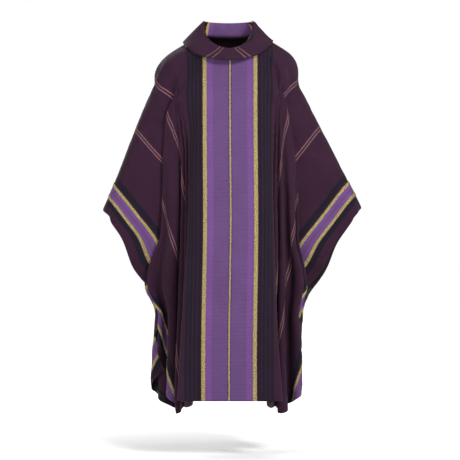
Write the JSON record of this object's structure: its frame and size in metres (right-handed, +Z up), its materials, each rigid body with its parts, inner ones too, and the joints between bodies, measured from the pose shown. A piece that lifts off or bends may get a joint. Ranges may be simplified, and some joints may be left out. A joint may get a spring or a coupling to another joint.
{
  "type": "chasuble",
  "caption": "Full poncho-cut church vestment of striped cloth with a ribbed centre orphrey, gold galloons, banded sleeve ends and a turned-over cowl collar.",
  "frame": {"origin": "base of the wearer's neck, on the centre line, where the garment rests on the shoulders", "axes": "+Z up, +X to the viewer's right seen from the front, the front faces -Y"},
  "size_m": [0.9406, 0.552, 1.3648],
  "materials": {
    "plum_cloth": "matt twill wool blend, dark plum with woven pinstripes",
    "violet_ribbon": "fine cross-ribbed violet",
    "gold_galloon": "metallic gold braid",
    "dark_lining": "smooth dark lining"
  },
  "bodies": {
    "root": {"front_cloth": "plum_cloth", "back_cloth": "plum_cloth", "front_orphrey": "violet_ribbon", "front_orphrey_galloon_left": "gold_galloon", "front_orphrey_galloon_right": "gold_galloon", "front_orphrey_centre_braid": "gold_galloon", "back_orphrey": "violet_ribbon", "back_orphrey_galloon_left": "gold_galloon", "back_orphrey_galloon_right": "gold_galloon", "back_orphrey_centre_braid": "gold_galloon", "left_sleeve_band": "violet_ribbon", "left_band_inner_galloon": "gold_galloon", "left_band_outer_galloon": "gold_galloon", "left_sleeve_facing": "dark_lining", "right_sleeve_band": "violet_ribbon", "right_band_inner_galloon": "gold_galloon", "right_band_outer_galloon": "gold_galloon", "right_sleeve_facing": "dark_lining", "front_hem_facing": "dark_lining", "back_hem_facing": "dark_lining", "collar_outer": "plum_cloth", "collar_interlining": "dark_lining", "collar_under": "dark_lining", "neck_binding": "dark_lining"}
  },
  "joints": []
}
